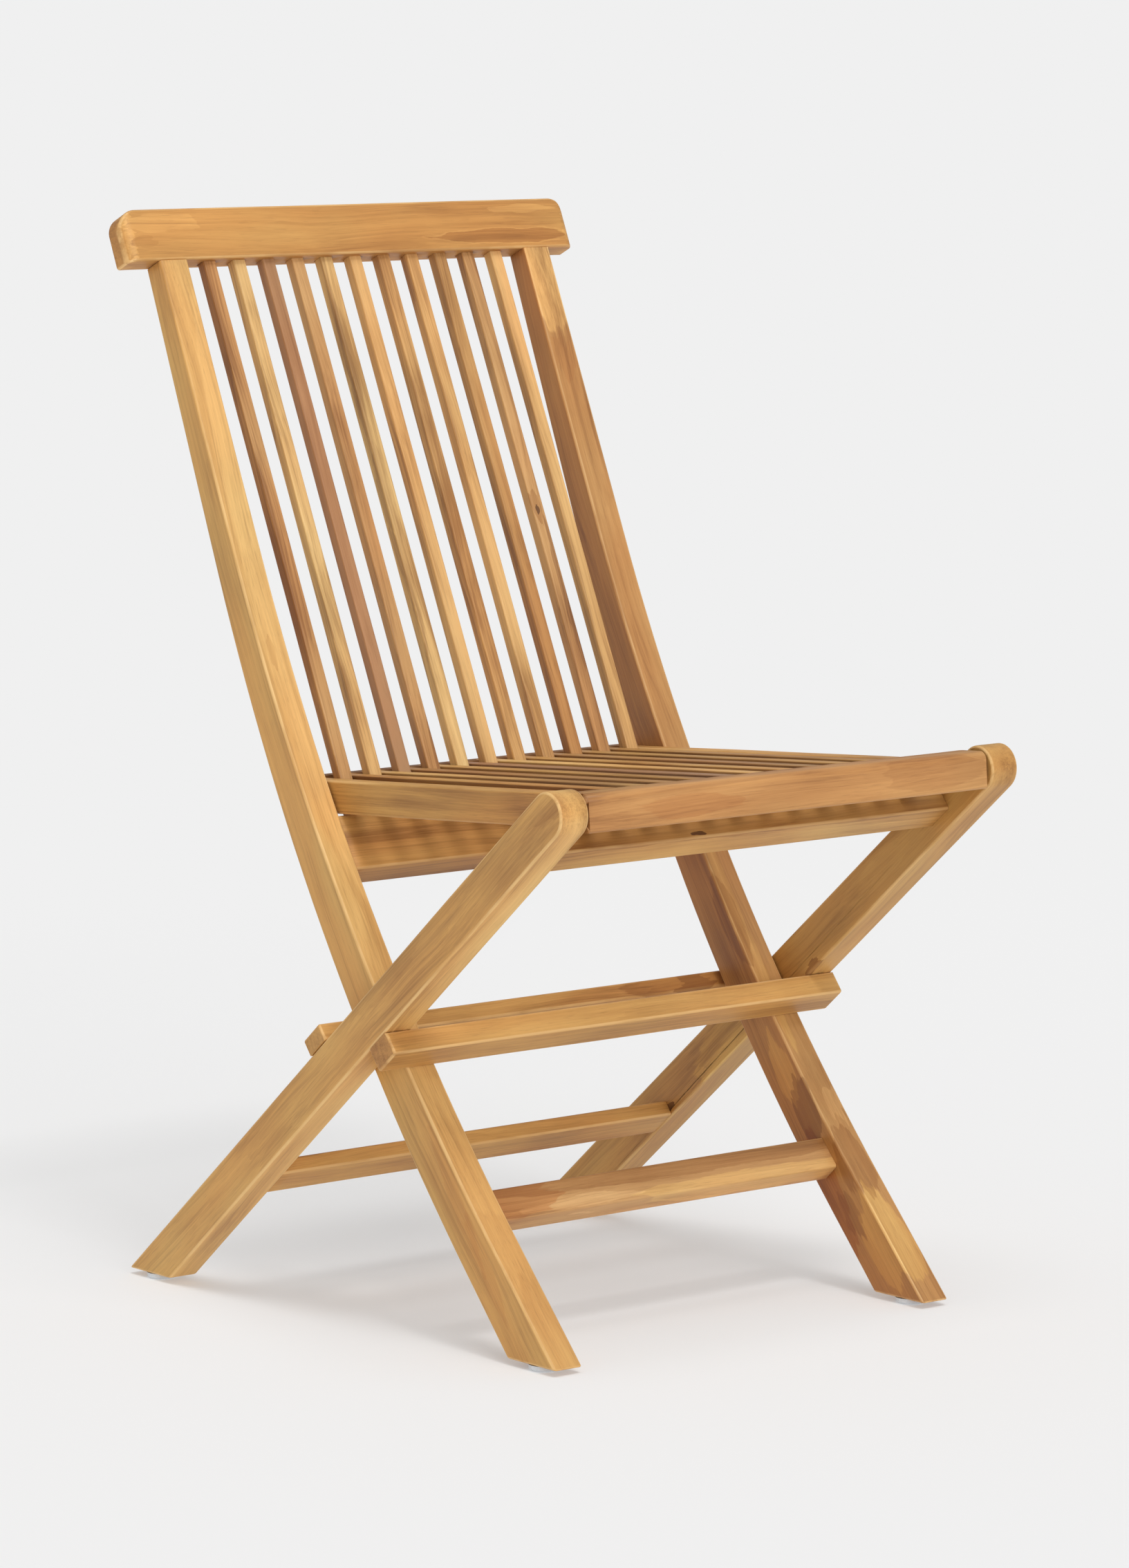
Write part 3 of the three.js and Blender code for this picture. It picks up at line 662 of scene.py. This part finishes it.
# slot, tone, seed, contrast and marks of each board
BOARDS = {
    "right_stile": ("teak_pale", "golden", 1.1, 0.6, RIGHT_STILE_MARKS),
    "left_stile": ("teak_pale", "russet", 2.9, 0.9, LEFT_STILE_MARKS),
    "right_outer_leg": ("teak", "golden", 3.3, 0.7, RIGHT_LEG_MARKS),
    "left_outer_leg": ("teak", "olive", 4.7, 0.8, LEFT_LEG_MARKS),
    "top_rail": ("teak", "amber", 5.2, 0.65, TOP_RAIL_MARKS),
    "lower_back_rail": ("teak", "amber", 6.1, 0.9, ()),
    "front_stretcher": ("teak", "tan", 7.9, 1.0, STRETCHER_MARKS),
    "under_seat_rail": ("teak", "olive", 8.4, 1.0, UNDER_RAIL_MARKS),
    "rear_stretcher": ("teak", "amber", 9.6, 1.0, ()),
    "front_stop_bar": ("teak", "honey", 10.3, 0.8, ()),
    "rear_stop_bar": ("teak", "honey", 11.7, 1.0, REAR_BAR_MARKS),
    "seat_front_rail": ("teak", "russet", 12.2, 1.0, FRONT_RAIL_MARKS),
    "seat_rear_rail": ("teak", "brown", 13.8, 1.0, ()),
    "right_seat_side_rail": ("teak", "honey", 14.6, 0.9, ()),
    "left_seat_side_rail": ("teak", "honey", 15.5, 1.0, ()),
}
for node, (slot, tone, seed, contrast, marks) in BOARDS.items():
    bow = STILE_BOW if "stile" in node else 0.0
    wooden(
        node, slot, FRAME_ARRIS, seed, tone=tone, contrast=contrast, patches=marks, bow=bow,
    )

BACK_TONES = (
    "tan", "straw", "rose", "tan", "straw", "wheat",
    "wheat", "wheat", "russet", "tan", "wheat",
)
BACK_SLAT_CONTRAST = 1.15
BACK_SEED = 20.3
BACK_SEED_STEP = 1.7
BACK_SLAT_MARKS = {
    5: (
        ("all", (-0.004, -0.005, 0.05), (0.003, 0.01, 0.16), DARK, 0.35),
    ),
    10: (
        ("all", (0.003, -0.005, -0.07), (0.0025, 0.008, 0.07), DARK, 0.6),
        ("all", (-0.001, -0.005, 0.012), (0.005, 0.006, 0.02), SMOKY, 0.8),
        ("all", (-0.001, -0.005, 0.008), (0.0026, 0.004, 0.006), KNOT, 0.8),
    ),
}
for number, tone in enumerate(BACK_TONES, 1):
    wooden(
        f"back_slat_{number:02d}", "teak_slats", SLAT_ARRIS,
        BACK_SEED + BACK_SEED_STEP * number, tone=tone, contrast=BACK_SLAT_CONTRAST,
        patches=BACK_SLAT_MARKS.get(number, ()),
    )

SEAT_TONES = (
    "honey", "golden", "brown", "honey", "rose",
    "golden", "honey", "brown", "olive", "honey",
)
# painted shade: the seat slats' side faces, down in the gaps, are darkened
SEAT_SLAT_MARKS = (
    ("side", MIDDLE, WHOLE, GAP_SHADE, 0.9),
)
SEAT_SEED = 50.9
SEAT_SEED_STEP = 1.3
for number, tone in enumerate(SEAT_TONES, 1):
    wooden(
        f"seat_slat_{number:02d}", "teak_slats", SLAT_ARRIS,
        SEAT_SEED + SEAT_SEED_STEP * number, tone=tone, patches=SEAT_SLAT_MARKS,
    )


# ------------------------------------------------------------------ hardware
MOTTLE = 160.0                           # per metre
SCRATCHES = 900.0                        # per metre
ROUGH_SPREAD = 0.08


def plain_material(name, colour, rough, metallic=0.0, mottle=0.08):
    """Metal, plastic or plain wood whose colour and roughness vary a little."""
    material, s = new_material(name)
    place = s.add("ShaderNodeTexCoord").outputs["Object"]
    cloud = s.noise(place, MOTTLE, 3.0, 0.6)
    bump = s.add("ShaderNodeBump", {
        "Strength": 0.2, "Distance": 0.0002, "Height": s.noise(place, SCRATCHES),
    })
    surface = s.add("ShaderNodeBsdfPrincipled", {
        "Base Color": s.mix(cloud, shade(colour, [1 - 2 * mottle] * 3), colour),
        "Roughness": s.span(cloud, 0.0, 1.0, rough - ROUGH_SPREAD, rough + ROUGH_SPREAD),
        "Metallic": metallic,
        "Normal": bump.outputs["Normal"],
    })
    s.add("ShaderNodeOutputMaterial", {"Surface": surface.outputs[0]})
    return material


STEEL = plain_material("stainless_steel", linear(178, 178, 176), 0.32, metallic=1.0)
BEECH = plain_material("beech_dowel", linear(214, 186, 142), 0.66, mottle=0.12)
GLIDE = plain_material("glide_plastic", linear(222, 225, 228), 0.38, mottle=0.05)
HARDWARE = {"pin": STEEL, "washer": STEEL, "dowel": BEECH, "glide": GLIDE}
for node, obj in frame["nodes"].items():
    for word, material in HARDWARE.items():
        if word in node:
            obj.data.materials.clear()
            obj.data.materials.append(material)

# -------------------------------------------------------------------- studio
BACKDROP = linear(240, 240, 240)
FLOOR_SHADE = (0.6, 0.6, 0.6, 1.0)
FLOOR_GLOW = 0.298                       # lifts the floor's shadows, as in a white cove
FLOOR_SIZE = 40                          # metres to each side
FADE_START = 1.6                         # metres out, where the floor turns into the backdrop
FADE_END = 3.4
AMBIENT = 0.42
WHITE = (1.0, 1.0, 1.0, 1.0)
# direction that each softbox shines in, how wide it looks in degrees, strength
SOFTBOXES = {
    "overhead": ((0.1, 0.3, -1.0), 40, 0.95),
    "key": ((0.12, 0.6, -1.0), 11, 0.6),
    "front": ((0.25, 1.0, -0.22), 40, 1.3),
}


def make_floor():
    bm = bmesh.new()
    bmesh.ops.create_grid(bm, x_segments=8, y_segments=8, size=FLOOR_SIZE)
    mesh = bpy.data.meshes.new("floor")
    bm.to_mesh(mesh)
    bm.free()
    material, s = new_material("floor")
    place = s.add("ShaderNodeTexCoord").outputs["Object"]
    far = s.span(s.vector("LENGTH", place), FADE_START, FADE_END)
    diffuse = s.add("ShaderNodeBsdfDiffuse", {"Color": FLOOR_SHADE})
    lift = s.add("ShaderNodeEmission", {"Color": WHITE, "Strength": FLOOR_GLOW})
    paint = s.add("ShaderNodeAddShader", {0: diffuse.outputs[0], 1: lift.outputs[0]})
    glow = s.add("ShaderNodeEmission", {"Color": BACKDROP, "Strength": 1.0})
    blend = s.add("ShaderNodeMixShader", {0: far, 1: paint.outputs[0], 2: glow.outputs[0]})
    s.add("ShaderNodeOutputMaterial", {"Surface": blend.outputs[0]})
    mesh.materials.append(material)
    floor = bpy.data.objects.new("floor", mesh)
    bpy.context.scene.collection.objects.link(floor)


def make_world():
    world = bpy.data.worlds.new("studio")
    bpy.context.scene.world = world
    world.use_nodes = True
    world.node_tree.nodes.clear()
    s = Shader(world.node_tree)
    seen = s.add("ShaderNodeLightPath").outputs["Is Camera Ray"]
    around = s.add("ShaderNodeBackground", {"Color": WHITE, "Strength": AMBIENT})
    behind = s.add("ShaderNodeBackground", {"Color": BACKDROP, "Strength": 1.0})
    blend = s.add("ShaderNodeMixShader", {0: seen, 1: around.outputs[0], 2: behind.outputs[0]})
    s.add("ShaderNodeOutputWorld", {"Surface": blend.outputs[0]})


def softbox(name, direction, spread, strength):
    """An even, far-off softbox, as a sun that looks as wide as the spread."""
    light = bpy.data.lights.new(name, "SUN")
    light.angle = math.radians(spread)
    light.energy = strength
    lamp = bpy.data.objects.new(name, light)
    lamp.rotation_mode = "QUATERNION"
    lamp.rotation_quaternion = Vector(direction).to_track_quat("-Z", "Y")
    bpy.context.scene.collection.objects.link(lamp)


make_camera()
make_floor()
make_world()
for name, (direction, spread, strength) in SOFTBOXES.items():
    softbox(name, direction, spread, strength)
bpy.context.scene.view_settings.view_transform = "Standard"
